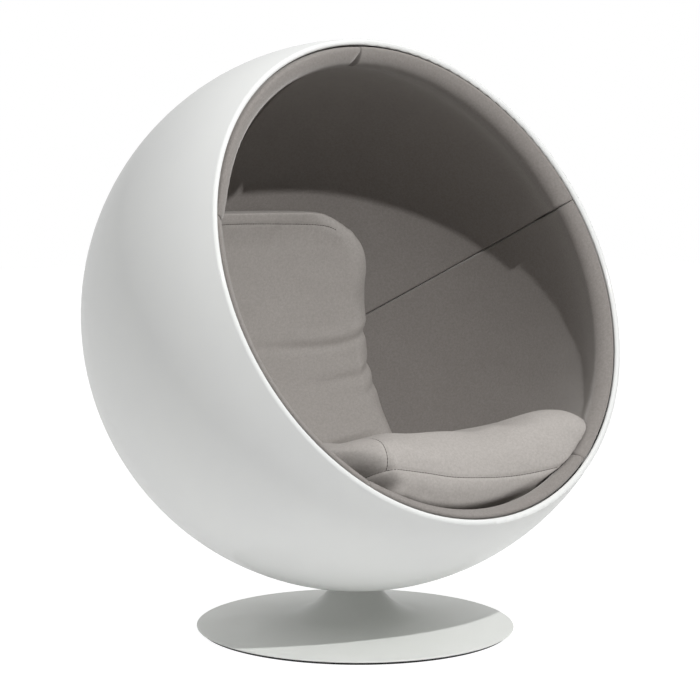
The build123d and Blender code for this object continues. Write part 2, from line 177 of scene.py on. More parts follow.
# The camera of the photograph
CAMERA_PLACE = (-2.5784, -3.0581, 0.9428)
CAMERA_LOOK = (0.63918, 0.76331, -0.09385)
CAMERA_ROLL = math.radians(0.302)
CAMERA_LENS = 102.68
SENSOR = 36.0


# ---------------------------------------------------------------- small helpers

def smooth_noise(points, size, seed, count=14):
    """Gentle waves between -1 and 1, the same each run: a sum of sines in seeded directions."""
    rng = np.random.default_rng(seed)
    total = np.zeros(len(points))
    for _ in range(count):
        direction = rng.normal(size=3)
        direction /= np.linalg.norm(direction)
        frequency = 2 * math.pi / (size * rng.uniform(0.7, 1.6))
        total += np.sin(points @ direction * frequency + rng.uniform(0, 2 * math.pi))
    return total / math.sqrt(count) / 1.6


def opening_place(side, up, along):
    """A point in the row's frame from its place in the opening's frame, centred on the ball."""
    side, up, along = np.broadcast_arrays(side, up, along)
    return (
        BALL_CENTRE
        + side[..., None] * OPENING_SIDE
        + up[..., None] * OPENING_UP
        + along[..., None] * OPENING_AXIS
    )


def ball_place(distance, polar, clock):
    """A point at a distance from the ball's centre, by its angle from the opening's axis and round it."""
    return opening_place(
        distance * np.sin(polar) * np.sin(clock),
        distance * np.sin(polar) * np.cos(clock),
        distance * np.cos(polar),
    )


def new_object(name, points, faces, smooth=True):
    mesh = bpy.data.meshes.new(name)
    mesh.from_pydata([tuple(p) for p in points], [], faces)
    mesh.validate()
    piece = bpy.data.objects.new(name, mesh)
    bpy.context.scene.collection.objects.link(piece)
    if smooth:
        mesh.polygons.foreach_set("use_smooth", [True] * len(mesh.polygons))
    return piece


def get_points(mesh):
    flat = np.empty(len(mesh.vertices) * 3, np.float64)
    mesh.vertices.foreach_get("co", flat)
    return flat.reshape(-1, 3)


def set_points(mesh, points):
    mesh.vertices.foreach_set("co", np.asarray(points, np.float64).ravel())
    mesh.update()


def get_normals(mesh):
    flat = np.empty(len(mesh.vertices) * 3, np.float64)
    mesh.vertices.foreach_get("normal", flat)
    return flat.reshape(-1, 3)


# ---------------------------------------------------------------- materials

class Graph:
    """A material's node tree, written as one call per node."""

    def __init__(self, name):
        self.material = bpy.data.materials.new(name)
        self.material.use_nodes = True
        self.start(self.material.node_tree, "ShaderNodeOutputMaterial")

    @classmethod
    def of_tree(cls, tree, output):
        """A graph for a tree that isn't a material's."""
        graph = cls.__new__(cls)
        graph.start(tree, output)
        return graph

    def start(self, tree, output):
        self.tree = tree
        tree.nodes.clear()
        self.output = self.node(output)

    def node(self, kind, inputs=None, **settings):
        made = self.tree.nodes.new(kind)
        for key, value in settings.items():
            setattr(made, key, value)
        for key, value in (inputs or {}).items():
            self.feed(made.inputs[key], value)
        return made

    def feed(self, socket, value):
        if isinstance(value, bpy.types.NodeSocket):
            self.tree.links.new(value, socket)
        else:
            socket.default_value = value

    def math(self, operation, a, b=0.0, c=0.0):
        made = self.node("ShaderNodeMath", {0: a, 1: b, 2: c}, operation=operation)
        return made.outputs[0]

    def mix(self, share, a, b):
        made = self.node("ShaderNodeMix", data_type="RGBA")
        self.feed(made.inputs["Factor"], share)
        self.feed(made.inputs["A"], a)
        self.feed(made.inputs["B"], b)
        return made.outputs["Result"]

    def noise(self, vector, scale, detail=2.0, roughness=0.5):
        made = self.node(
            "ShaderNodeTexNoise",
            {"Vector": vector, "Scale": scale, "Detail": detail, "Roughness": roughness},
        )
        return made.outputs["Fac"]

    def spread(self, value, low, high, new_low, new_high):
        made = self.node(
            "ShaderNodeMapRange",
            {"Value": value, "From Min": low, "From Max": high, "To Min": new_low, "To Max": new_high},
        )
        return made.outputs["Result"]

    def bump(self, height, strength, distance, normal=None):
        made = self.node("ShaderNodeBump", {"Height": height, "Strength": strength, "Distance": distance})
        if normal is not None:
            self.feed(made.inputs["Normal"], normal)
        return made.outputs["Normal"]

    def place(self):
        return self.node("ShaderNodeTexCoord").outputs["Object"]

    def seen(self):
        """1 for what the camera sees, also in a reflection or through glass, and else 0."""
        path = self.node("ShaderNodeLightPath")
        mirrored = self.math("MAXIMUM", path.outputs["Is Glossy Ray"], path.outputs["Is Transmission Ray"])
        return self.math("MAXIMUM", path.outputs["Is Camera Ray"], mirrored)

    def shader(self, **inputs):
        named = {key.replace("_", " "): value for key, value in inputs.items()}
        made = self.node("ShaderNodeBsdfPrincipled", named)
        self.feed(self.output.inputs["Surface"], made.outputs["BSDF"])
        return made


def shade(*colour):
    """A colour as written in an image file, 0 to 255, in the renderer's linear values."""
    linear = [c / 12.92 if c <= 0.04045 else ((c + 0.055) / 1.055) ** 2.4 for c in (v / 255 for v in colour)]
    return (*linear, 1.0)


def weave_height(graph, place, threads):
    """Plain weave on three planes, mixed by which way the surface faces."""
    split = graph.node("ShaderNodeSeparateXYZ", {"Vector": place})
    x, y, z = split.outputs
    normal = graph.node("ShaderNodeNewGeometry").outputs["Normal"]
    facing = graph.node("ShaderNodeSeparateXYZ", {"Vector": normal})
    weights = [graph.math("POWER", graph.math("ABSOLUTE", axis), 4.0) for axis in facing.outputs]

    def plane(a, b):
        """Two sets of threads that pass over and under each other."""
        wave_a = graph.math("SINE", graph.math("MULTIPLY", a, threads * math.pi))
        wave_b = graph.math("SINE", graph.math("MULTIPLY", b, threads * math.pi))
        cos_a = graph.math("ABSOLUTE", graph.math("COSINE", graph.math("MULTIPLY", a, threads * math.pi)))
        cos_b = graph.math("ABSOLUTE", graph.math("COSINE", graph.math("MULTIPLY", b, threads * math.pi)))
        over = graph.math("MULTIPLY", wave_a, wave_b)
        body = graph.math("ADD", graph.math("MULTIPLY", cos_a, 0.5), graph.math("MULTIPLY", cos_b, 0.5))
        return graph.math("MULTIPLY_ADD", over, 0.5, body)

    planes = [plane(y, z), plane(z, x), plane(x, y)]
    total = graph.math("MULTIPLY", planes[0], weights[0])
    for height, weight in zip(planes[1:], weights[1:]):
        total = graph.math("MULTIPLY_ADD", height, weight, total)
    whole = graph.math("ADD", graph.math("ADD", weights[0], weights[1]), weights[2])
    return graph.math("DIVIDE", total, whole)


def fabric(name, light, dark, sheen):
    """Heathered plain weave: mixed light and dark yarns, thread relief and a little fuzz."""
    graph = Graph(name)
    place = graph.place()
    warped = graph.node("ShaderNodeVectorMath", operation="MULTIPLY_ADD")
    wobble = graph.node("ShaderNodeTexNoise", {"Vector": place, "Scale": 60.0, "Detail": 1.0})
    graph.feed(warped.inputs[0], wobble.outputs["Color"])
    warped.inputs[1].default_value = (0.0012,) * 3
    graph.feed(warped.inputs[2], place)
    weave = weave_height(graph, warped.outputs[0], 900.0)
    yarn = graph.noise(place, 850.0, 2.0, 0.6)
    slub = graph.noise(place, 210.0, 3.0, 0.6)
    cloud = graph.noise(place, 9.0, 2.0, 0.5)
    fine, coarse = graph.spread(yarn, 0.3, 0.7, 0.0, 0.6), graph.spread(slub, 0.35, 0.65, 0.0, 0.4)
    heather = graph.math("ADD", fine, coarse)
    colour = graph.mix(heather, dark, light)
    colour = graph.mix(graph.spread(cloud, 0.35, 0.65, 0.0, 0.10), colour, dark)
    relief = graph.math("MULTIPLY_ADD", slub, 0.5, weave)
    shader = graph.shader(Base_Color=colour, Normal=graph.bump(relief, 0.5, 0.0004))
    shader.inputs["Roughness"].default_value = 0.92
    shader.inputs["Specular IOR Level"].default_value = 0.10
    shader.inputs["Sheen Weight"].default_value = sheen
    shader.inputs["Sheen Roughness"].default_value = 0.45
    shader.inputs["Sheen Tint"].default_value = (1.0, 0.97, 0.94, 1.0)
    return graph.material


def gel_coat():
    """Polished white moulding with a faint long-wave ripple and uneven polish."""
    graph = Graph("shell_gloss")
    place = graph.place()
    ripple = graph.noise(place, 5.0, 1.0, 0.4)
    peel = graph.noise(place, 240.0, 1.0, 0.5)
    relief = graph.math("MULTIPLY_ADD", peel, 0.004, ripple)
    polish = graph.noise(place, 3.0, 3.0, 0.6)
    tone = graph.mix(graph.spread(polish, 0.3, 0.7, 0.0, 1.0), shade(229, 230, 229), shade(233, 234, 232))
    shader = graph.shader(
        Base_Color=tone,
        Roughness=graph.spread(polish, 0.3, 0.7, 0.16, 0.24),
        Normal=graph.bump(relief, 0.25, 0.002),
    )
    shader.inputs["IOR"].default_value = 1.5
    shader.inputs["Specular IOR Level"].default_value = 0.0
    shader.inputs["Coat Weight"].default_value = 0.25
    shader.inputs["Coat Roughness"].default_value = 0.06
    return graph.material


def powder_coat():
    """Satin grey powder coat with a fine orange peel."""
    graph = Graph("base_paint")
    place = graph.place()
    peel = graph.noise(place, 700.0, 2.0, 0.5)
    soft = graph.noise(place, 12.0, 2.0, 0.5)
    tone = graph.mix(soft, shade(217, 219, 215), shade(223, 224, 221))
    shader = graph.shader(
        Base_Color=tone,
        Roughness=graph.spread(soft, 0.3, 0.7, 0.42, 0.52),
        Normal=graph.bump(peel, 0.15, 0.0003),
    )
    shader.inputs["IOR"].default_value = 1.45
    return graph.material


def metal(name, colour, roughness, scratch):
    """Turned or plated steel with fine circular tool marks."""
    graph = Graph(name)
    place = graph.place()
    split = graph.node("ShaderNodeSeparateXYZ", {"Vector": place})
    flat = graph.math("POWER", split.outputs[0], 2.0)
    flat = graph.math("ADD", flat, graph.math("POWER", split.outputs[1], 2.0))
    marks = graph.math("SINE", graph.math("MULTIPLY", graph.math("SQRT", flat), scratch))
    stain = graph.noise(place, 40.0, 3.0, 0.6)
    shader = graph.shader(
        Base_Color=graph.mix(graph.spread(stain, 0.35, 0.7, 0.0, 0.35), colour, shade(110, 108, 104)),
        Roughness=graph.spread(stain, 0.3, 0.7, roughness, roughness + 0.15),
        Normal=graph.bump(marks, 0.1, 0.0001),
    )
    shader.inputs["Metallic"].default_value = 1.0
    return graph.material


def plain(name, colour, roughness, grain):
    """Moulded rubber, plastic or black paint with a fine grain."""
    graph = Graph(name)
    place = graph.place()
    speck = graph.noise(place, grain, 3.0, 0.6)
    shader = graph.shader(
        Base_Color=graph.mix(graph.spread(speck, 0.35, 0.65, 0.0, 0.5), colour, shade(52, 51, 50)),
        Roughness=graph.spread(speck, 0.3, 0.7, roughness, roughness + 0.12),
        Normal=graph.bump(speck, 0.2, 0.0002),
    )
    shader.inputs["IOR"].default_value = 1.45
    return graph.material


MATERIALS = {
    "shell_gloss": gel_coat(),
    "base_paint": powder_coat(),
    "lining_fabric": fabric("lining_fabric", shade(152, 147, 143), shade(128, 123, 119), 0.55),
    "cushion_fabric": fabric("cushion_fabric", shade(189, 184, 180), shade(163, 158, 153), 0.18),
    # The seam threads' dark colour is painted shade for the seams' crevices
    "painted_seam_shade": plain("painted_seam_shade", shade(92, 87, 82), 0.8, 3000.0),
    "ballast_steel": plain("ballast_steel", shade(38, 38, 38), 0.5, 500.0),
    "machined_steel": metal("machined_steel", shade(176, 176, 174), 0.28, 9000.0),
    "zinc_steel": metal("zinc_steel", shade(190, 190, 184), 0.34, 5000.0),
    "bearing_plastic": plain("bearing_plastic", shade(30, 30, 30), 0.55, 900.0),
    "glide_rubber": plain("glide_rubber", shade(28, 28, 28), 0.75, 1500.0),
}


def dress_cad_nodes():
    """Every CAD node gets its slot's material and smooth shading inside each CAD face."""
    for part in frame["record"]["subparts"]:
        piece = NODES[part["node"]]
        piece.data.materials.clear()
        piece.data.materials.append(MATERIALS[part["material_slot"]])
        piece.data.polygons.foreach_set("use_smooth", [True] * len(piece.data.polygons))


# ---------------------------------------------------------------- lining gores

def seam_spacing(half_width):
    """Places across half a gore, measured from its seam: fine on the rounded end, even elsewhere."""
    near = np.array([0.0, 0.25, 0.7, 1.3, 2.1, 3.1, 4.5, 6.5, 9.0, 12.5, 17.0, 23.0]) / 1000
    near = near * min(1.0, half_width / 0.05)
    even = np.linspace(0, 1, 24)[1:]
    return np.concatenate([near, near[-1] + even * (half_width - near[-1])])


def gore_row(gore, distance, angle):
    """One row of a gore from seam to seam: clock angles, and the distances from its start and end."""
    start, end = math.radians(gore.start), math.radians(gore.end)
    radius = max(distance * math.sin(angle), 1e-6)
    half_width = max(radius * (end - start) / 2 - SEAM_GAP, 1e-5)
    half = seam_spacing(half_width)
    from_start = np.concatenate([half, 2 * half_width - half[-2::-1]])
    clock = (start + end) / 2 + (from_start - half_width) / radius
    return clock, from_start, 2 * half_width - from_start


def rounded(distance, reach):
    """How far the cloth has turned down at a distance from a seam, as a quarter circle."""
    share = np.clip(1 - distance / reach, 0, 1)
    return reach * (1 - np.sqrt(1 - share**2))


def rim_place(clock, distance, forward):
    """A point near the rim: along the ball's radius there, and forward of it, square to that radius."""
    side = distance * math.sin(RIM_ANGLE) - forward * math.cos(RIM_ANGLE)
    along = distance * math.cos(RIM_ANGLE) + forward * math.sin(RIM_ANGLE)
    return opening_place(side * np.sin(clock), side * np.cos(clock), along)


def gore_edge(gore):
    """The padded edge: a small round behind the lip, then a large one into the ball."""
    inner = LINING_RADIUS - gore.bulge
    centre = inner + gore.edge
    tuck = EDGE_SIDE - centre
    rows = []
    turns = [(tuck, t) for t in np.linspace(0, 90, 7)[:-1]]
    turns += [(gore.edge, t) for t in np.linspace(90, 180, 21)]
    for radius, turn in turns:
        clock, from_start, from_end = gore_row(gore, centre, RIM_ANGLE)
        pull = gore.pulls[0] * np.exp(-from_start / PULL_REACH)
        pull = pull + gore.pulls[1] * np.exp(-from_end / PULL_REACH)
        round_end = rounded(from_start, gore.domes[0]) + rounded(from_end, gore.domes[1])
        round_end *= 0.12 + 0.88 * step_up(turn, 85, 150)
        size = radius - round_end * (radius / gore.edge)
        turn = math.radians(turn)
        distance = centre + size * math.cos(turn)
        forward = gore.forward - pull - radius + size * math.sin(turn)
        if radius == tuck:
            forward = gore.forward - pull - tuck - round_end + size * math.sin(turn)
            forward = forward + round_end * (tuck / gore.edge)
        rows.append(rim_place(clock, distance, forward))
    return rows


def gore_face(gore):
    """The soft face from the padded edge to the back of the ball."""
    edge_angle = math.atan2(gore.edge - gore.forward, LINING_RADIUS)
    first = RIM_ANGLE + edge_angle
    rows = []
    for angle in first + (math.pi - POLE - first) * np.linspace(0, 1, FACE_ROWS)[1:]:
        clock, from_start, from_end = gore_row(gore, LINING_RADIUS, angle)
        inward = (angle - first) * LINING_RADIUS
        bulge = gore.bulge * math.exp(-((inward / BULGE_REACH) ** 2))
        fade = math.exp(-((inward / DOME_REACH) ** 2))
        distance = LINING_RADIUS - bulge
        for away, dome in ((from_start, gore.domes[0]), (from_end, gore.domes[1])):
            reach = SEAM_SHOULDER + max(dome - SEAM_SHOULDER, 0) * fade
            hollow = SEAM_HOLLOW * np.exp(-away / SEAM_HOLLOW_REACH)
            distance = distance + rounded(away, reach) + hollow
        rows.append(ball_place(distance, angle, clock))
    return rows


def lining_gore(index, gore):
    """A padded gore as a closed form: its edge and soft face, and its back against the shell."""
    front = []
    for angle in [RIM_ANGLE + math.radians(past_rim) for past_rim in HIDDEN_ROWS]:
        clock = gore_row(gore, EDGE_SIDE, angle)[0]
        front.append(ball_place(np.full(len(clock), EDGE_SIDE), angle, clock))
    front += gore_edge(gore)
    soft_from = len(front)
    front += gore_face(gore)
    back = []
    back_start = RIM_ANGLE + math.radians(BACK_START)
    for angle in np.linspace(back_start, math.pi - POLE, len(front)):
        clock = gore_row(gore, LINING_BACK, angle)[0]
        back.append(ball_place(np.full(len(clock), LINING_BACK), angle, clock))

    front, back = np.array(front), np.array(back)
    count_rows, count_across = front.shape[:2]
    wave = smooth_noise(front.reshape(-1, 3), 0.16, 11 + index).reshape(count_rows, count_across)
    softness = np.clip((np.arange(count_rows) - soft_from) / FACE_WAVE_ROWS, 0, 1)[:, None]
    outward = front - BALL_CENTRE
    outward /= np.linalg.norm(outward, axis=2, keepdims=True)
    front = front + outward * (np.abs(wave) * FACE_WAVE * softness)[..., None]

    offset = count_rows * count_across
    faces = []
    for i in range(count_rows - 1):
        row, below = i * count_across, (i + 1) * count_across
        for j in range(count_across - 1):
            faces.append((row + j, row + j + 1, below + j + 1, below + j))
            faces.append((offset + row + j, offset + below + j, offset + below + j + 1, offset + row + j + 1))
        last = count_across - 1
        faces.append((offset + row, offset + below, below, row))
        faces.append((row + last, below + last, offset + below + last, offset + row + last))
    for row, turned in ((0, False), ((count_rows - 1) * count_across, True)):
        for j in range(count_across - 1):
            end = (row + j + 1, row + j, offset + row + j, offset + row + j + 1)
            faces.append(end[::-1] if turned else end)
    points = np.concatenate([front.reshape(-1, 3), back.reshape(-1, 3)])
    piece = new_object(f"lining_gore_{index + 1}", points, faces)
    tidy_mesh(piece.data)
    finish_soft(piece, "pod", [f"lining_panel_{index + 1}"], "lining_fabric")


def tidy_mesh(mesh):
    """Joins doubled points and turns all faces outward."""
    work = bmesh.new()
    work.from_mesh(mesh)
    bmesh.ops.remove_doubles(work, verts=work.verts, dist=0.00002)
    bmesh.ops.dissolve_degenerate(work, dist=0.000005, edges=work.edges)
    bmesh.ops.recalc_face_normals(work, faces=work.faces)
    work.to_mesh(mesh)
    work.free()
    mesh.polygons.foreach_set("use_smooth", [True] * len(mesh.polygons))


def finish_soft(piece, body, nodes, slot):
    piece.data.materials.clear()
    piece.data.materials.append(MATERIALS[slot])
    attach(piece, body)
    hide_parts(*nodes)


# ---------------------------------------------------------------- cushions

def smooth_line(corners, steps=10):
    """A curve through a few points, as closely spaced points."""
    corners = np.array(corners, float)
    ends = np.concatenate([[2 * corners[0] - corners[1]], corners, [2 * corners[-1] - corners[-2]]])
    line = []
    for before, start, end, after in zip(ends, ends[1:], ends[2:], ends[3:]):
        for t in np.linspace(0, 1, steps, endpoint=False):
            line.append(
                0.5 * (
                    2 * start + (end - before) * t + (2 * before - 5 * start + 4 * end - after) * t**2
                    + (3 * start - before - 3 * end + after) * t**3
                )
            )
    return np.array(line + [corners[-1]])


def from_line(points, line):
    """Distance of flat points from a line, and how far along it the nearest place is, 0 to 1."""
    starts, runs = line[:-1], np.diff(line, axis=0)
    lengths = np.linalg.norm(runs, axis=1)
    before = np.concatenate([[0], np.cumsum(lengths)])
    best = np.full(len(points), np.inf)
    where = np.zeros(len(points))
    for start, run, length, passed in zip(starts, runs, lengths, before):
        share = np.clip((points - start) @ run / length**2, 0, 1)
        away = np.linalg.norm(points - start - share[:, None] * run, axis=1)
        closer = away < best
        best[closer] = away[closer]
        where[closer] = (passed + share[closer] * length) / before[-1]
    return best, where


def bump_shape(value, width):
    return np.exp(-((value / width) ** 2))


def step_up(value, low, high):
    share = np.clip((value - low) / (high - low), 0, 1)
    return share * share * (3 - 2 * share)


def soft_copy(name, node):
    """A copy of a CAD solid as one even mesh."""
    piece = bpy.data.objects.new(name, NODES[node].data.copy())
    bpy.context.scene.collection.objects.link(piece)
    remesh = piece.modifiers.new("even", "REMESH")
    remesh.mode = "VOXEL"
    remesh.voxel_size = VOXEL
    apply_modifiers(piece)
    relax(piece.data, 4)
    return piece


def apply_modifiers(piece):
    graph = bpy.context.evaluated_depsgraph_get()
    made = bpy.data.meshes.new_from_object(piece.evaluated_get(graph))
    piece.modifiers.clear()
    piece.data = made
    made.polygons.foreach_set("use_smooth", [True] * len(made.polygons))


def relax(mesh, rounds):
    """Evens out the remesher's small steps."""
    work = bmesh.new()
    work.from_mesh(mesh)
    for _ in range(rounds):
        bmesh.ops.smooth_vert(
            work, verts=work.verts, factor=0.5, use_axis_x=True, use_axis_y=True, use_axis_z=True
        )
    work.to_mesh(mesh)
    work.free()


def subdivide(piece):
    piece.modifiers.new("finer", "SUBSURF").levels = 1
    apply_modifiers(piece)


def calm(mesh, values, rounds):
    """Evens out values on a mesh's corners, each with its neighbours."""
    ends = np.empty(len(mesh.edges) * 2, np.int32)
    mesh.edges.foreach_get("vertices", ends)
    one, other = ends.reshape(-1, 2).T
    count = np.bincount(ends, minlength=len(values))[:, None]
    for _ in range(rounds):
        total = np.stack([
            np.bincount(one, column[other], len(values)) + np.bincount(other, column[one], len(values))
            for column in values.T
        ], axis=1)
        values = 0.4 * values + 0.6 * total / np.maximum(count, 1)
    return values


def stuff(piece, held, free, pressure, most):
    """Blows the cover up between the places where it is held, as stuffing does, as far as it is free."""
    start = get_points(piece.data)
    group = piece.vertex_groups.new(name="held")
    for level in range(1, 11):
        chosen = np.nonzero(np.round(held * 10) == level)[0]
        group.add(chosen.tolist(), level / 10, "REPLACE")
    cloth = piece.modifiers.new("cloth", "CLOTH")
    settings = cloth.settings
    settings.use_pressure = True
    settings.uniform_pressure_force = pressure
    settings.vertex_group_mass = "held"
    settings.effector_weights.gravity = 0
    settings.quality = 3
    settings.shrink_min = -0.015
    settings.bending_stiffness = 0.8
    scene = bpy.context.scene
    for moment in range(1, STUFFING_FRAMES + 1):
        scene.frame_set(moment)
    apply_modifiers(piece)
    scene.frame_set(1)
    moved = calm(piece.data, get_points(piece.data) - start, 14)
    far = np.linalg.norm(moved, axis=1)
    moved *= (np.minimum(far, most) / np.maximum(far, 1e-9))[:, None]
    set_points(piece.data, start + moved * free[:, None])


def opening_parts(points):
    """Points' places in the opening's frame: side, up and along, from the ball's centre."""
    away = points - BALL_CENTRE
    return away @ OPENING_SIDE, away @ OPENING_UP, away @ OPENING_AXIS


def keep_in_ball(points, clearance):
    """Pulls points back that are nearer to the lining than the clearance."""
    away = points - BALL_CENTRE
    distance = np.linalg.norm(away, axis=1, keepdims=True)
    most = LINING_RADIUS - clearance
    return BALL_CENTRE + away * np.minimum(1, most / distance)


def keep_off_edge(points, clearance):
    """Draws points in from the lining's padded edge, taken as one ring."""
    ring_out = RING_REACH * math.sin(RIM_ANGLE) - RING_FORWARD * math.cos(RIM_ANGLE)
    ring_along = RING_REACH * math.cos(RIM_ANGLE) + RING_FORWARD * math.sin(RIM_ANGLE)
    side, up, along = opening_parts(points)
    out = np.hypot(side, up)
    kept = RING_RADIUS + clearance
    most = ring_out - np.sqrt(np.maximum(kept**2 - (along - ring_along) ** 2, 0))
    share = np.where(np.abs(along - ring_along) < kept, np.minimum(1, most / out), 1)
    share = np.where(along > ring_along, np.minimum(share, ring_out / out * 0.98), share)
    return opening_place(side * share, up * share, along)


def keep_clear(points, clearance):
    """Keeps points off the whole lining."""
    along = (points - BALL_CENTRE) @ OPENING_AXIS
    inside = (along < RIM_DISTANCE - 0.03)[:, None]
    return keep_off_edge(np.where(inside, keep_in_ball(points, clearance), points), clearance + 0.003)


def against_lining(points):
    """1 where a cushion lies against the lining, falling to 0 at 20 mm from it."""
    from_ball = LINING_RADIUS - np.linalg.norm(points - BALL_CENTRE, axis=1)
    return step_up(0.020 - from_ball, 0.0, 0.012)


def seat_seams():
    """The seat's seams as lines of (side, up) on its front and (side, along) on its sitting face."""
    low = smooth_line(SEAT_LOW_SEAM)
    left = smooth_line([(-0.192, -0.360), (-0.187, -0.330), (-0.179, -0.300), (-0.170, -0.270)])
    right = smooth_line([(0.163, -0.404), (0.167, -0.370), (0.172, -0.320), (0.178, -0.240)])
    return low, left, right


def seat_cushion():
    piece = soft_copy("seat_cushion_cover", "seat_cushion")
    mesh = piece.data
    points, normals = get_points(mesh), get_normals(mesh)
    side, up, along = opening_parts(points)
    low = seat_seams()[0]
    flat = np.stack([side, up], axis=1)
    facing = step_up(normals @ OPENING_AXIS, 0.1, 0.6)
    on_top = step_up(normals[:, 2], 0.3, 0.8)
    pressed = against_lining(points)

    # The left end is a small wing that falls back, the right end a full hump that stands forward
    front_part = step_up(along, SEAT_FRONT - 0.16, SEAT_FRONT - 0.04)
    away = points - BALL_CENTRE
    distance = np.linalg.norm(away, axis=1)
    near_lining = np.clip((distance - 0.425) / 0.07, 0, 1) ** 1.5
    recess = WING_RECESS * step_up(-side, 0.175, 0.310) * front_part
    recess += WING_TUCK * near_lining * step_up(-side, 0.17, 0.25) * front_part
    for at_side, at_up, long, high, width, deep in SEAT_POCKETS:
        recess += deep * bump_shape(np.hypot((side - at_side) / long, (up - at_up) / high), width) * facing
    low_away = from_line(flat, low)[0]
    recess += LOW_FALL * step_up(np.interp(side, low[:, 0], low[:, 1]) - up, 0.0, 0.06) * facing
    hump = step_up(side, 0.10, 0.24) * front_part
    middle = 1 - step_up(np.abs(side), 0.15, 0.24)
    fallen = np.clip(SEAT_FRONT - along, 0, 0.030) * step_up(along, SEAT_FRONT - 0.045, SEAT_FRONT - 0.02)
    recess -= 0.5 * fallen * step_up(-up, 0.33, 0.38) * middle
    points += OPENING_AXIS * (HUMP_FORWARD * hump - recess)[:, None]
    points += OPENING_SIDE * (HUMP_ASIDE * hump)[:, None]
    lift = -TIP_DROP * step_up(side, 0.280, 0.345)
    for at_side, width, high in SEAT_RISES:
        lift += high * bump_shape(side - at_side, width)
    points += OPENING_UP * (lift * step_up(up, -0.40, -0.32) * front_part)[:, None]
    outward = away / distance[:, None]
    points += outward * (HUMP_OUTWARD * hump * step_up(-up, 0.24, 0.32))[:, None]

    # Its front turns under sharply, so that a crevice is left above the lining's padded edge
    curl = np.clip((distance - 0.483) / 0.020, 0, 1) ** 2 * step_up(-up, 0.30, 0.37) * front_part
    curl *= 1 - 0.75 * step_up(side, 0.02, 0.24)
    points -= OPENING_AXIS * (CURL_BACK * curl)[:, None] + outward * (CURL_IN * curl)[:, None]

    # The cloth is a little uneven
    wave = smooth_noise(points, 0.14, 5) * 0.0016 + smooth_noise(points, 0.05, 6) * 0.0005
    points += normals * (wave * np.maximum(facing, on_top))[:, None]
    points = keep_clear(points, COVER_CLEARANCE)
    set_points(mesh, points)

    side = opening_parts(points)[0]
    seam_near = np.maximum(
        bump_shape(low_away, 0.007) * facing,
        bump_shape(np.abs(side) - SEAT_PANEL_SIDE, 0.007) * np.maximum(facing, on_top),
    )
    held = np.clip(np.maximum(seam_near, pressed), 0, 1)
    stuff(piece, held, np.ones(len(points)), STUFFING_PRESSURE, SEAT_SWELL)
    subdivide(piece)
    carve_seat(piece)
    # Dark threads along the seams, painted shade for their crevices
    for name, line in zip(("low", "left"), seat_seams()):
        starts = opening_place(line[:, 0], line[:, 1], np.full(len(line), SEAT_FRONT + 0.2))
        lay_painted_seam_shade(f"seat_seam_{name}", piece, starts, -OPENING_AXIS, "pod")
    finish_soft(piece, "pod", ["seat_cushion"], "cushion_fabric")


def carve_seat(piece):
    """Sews the seams in after the stuffing."""
    points, normals = get_points(piece.data), get_normals(piece.data)
    side, up = opening_parts(points)[:2]
    flat = np.stack([side, up], axis=1)
    facing = step_up(normals @ OPENING_AXIS, 0.0, 0.4)
    low, left, right = seat_seams()
    depth = np.zeros(len(points))
    for line, deep, wide in ((low, 0.0016, 0.0034), (left, 0.0014, 0.0034), (right, 0.0004, 0.0034)):
        away = from_line(flat, line)[0]
        depth += facing * (deep * bump_shape(away, wide) + 0.4 * deep * bump_shape(away, 0.014))
    top = step_up(normals[:, 2], 0.3, 0.7) * (1 - facing)
    away = np.abs(np.abs(side) - SEAT_PANEL_SIDE)
    depth += top * (0.002 * bump_shape(away, 0.003))
    points = keep_clear(points - normals * depth[:, None], SEWN_CLEARANCE)
    set_points(piece.data, points)


def lay_painted_seam_shade(name, piece, starts, direction, body):
    """A run of beaded thread on a cover, half sunk in, in a dark colour that is painted shade for the seam's
    crevice.
    """
    corners = [vertex.co for vertex in piece.data.vertices]
    tree = BVHTree.FromPolygons(corners, [polygon.vertices for polygon in piece.data.polygons])
    found = [tree.ray_cast(Vector(start), Vector(direction)) for start in starts]
    path = np.array([hit[0] for hit in found if hit[0] is not None])
    up = np.array([hit[1] for hit in found if hit[0] is not None])
    steps = np.concatenate([[0], np.cumsum(np.linalg.norm(np.diff(path, axis=0), axis=1))])
    even = np.arange(0, steps[-1], SHADE_THREAD_PITCH / 5)
    path = np.stack([np.interp(even, steps, path[:, i]) for i in range(3)], axis=1)
    up = np.stack([np.interp(even, steps, up[:, i]) for i in range(3)], axis=1)
    up /= np.linalg.norm(up, axis=1, keepdims=True)
    run = np.gradient(path, axis=0)
    run /= np.linalg.norm(run, axis=1, keepdims=True)
    across = np.cross(run, up)
    size = SHADE_THREAD_RADIUS * (0.45 + 0.55 * np.abs(np.sin(math.pi * even / SHADE_THREAD_PITCH)))
    turns = np.linspace(0, 2 * math.pi, SHADE_THREAD_SIDES + 1)[:-1]
    rings = np.stack([
        path - up * SHADE_THREAD_RADIUS * 0.2 + (across * math.cos(t) + up * math.sin(t)) * size[:, None]
        for t in turns
    ], axis=1)
    faces = []
    last = (len(even) - 1) * SHADE_THREAD_SIDES
    for row in range(0, last, SHADE_THREAD_SIDES):
        for j in range(SHADE_THREAD_SIDES):
            after = (j + 1) % SHADE_THREAD_SIDES
            faces.append((row + j, row + after, row + SHADE_THREAD_SIDES + after, row + SHADE_THREAD_SIDES + j))
    faces.append(tuple(range(SHADE_THREAD_SIDES - 1, -1, -1)))
    faces.append(tuple(last + j for j in range(SHADE_THREAD_SIDES)))
    thread = new_object(name, rings.reshape(-1, 3), faces)
    thread.data.materials.append(MATERIALS["painted_seam_shade"])
    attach(thread, body)


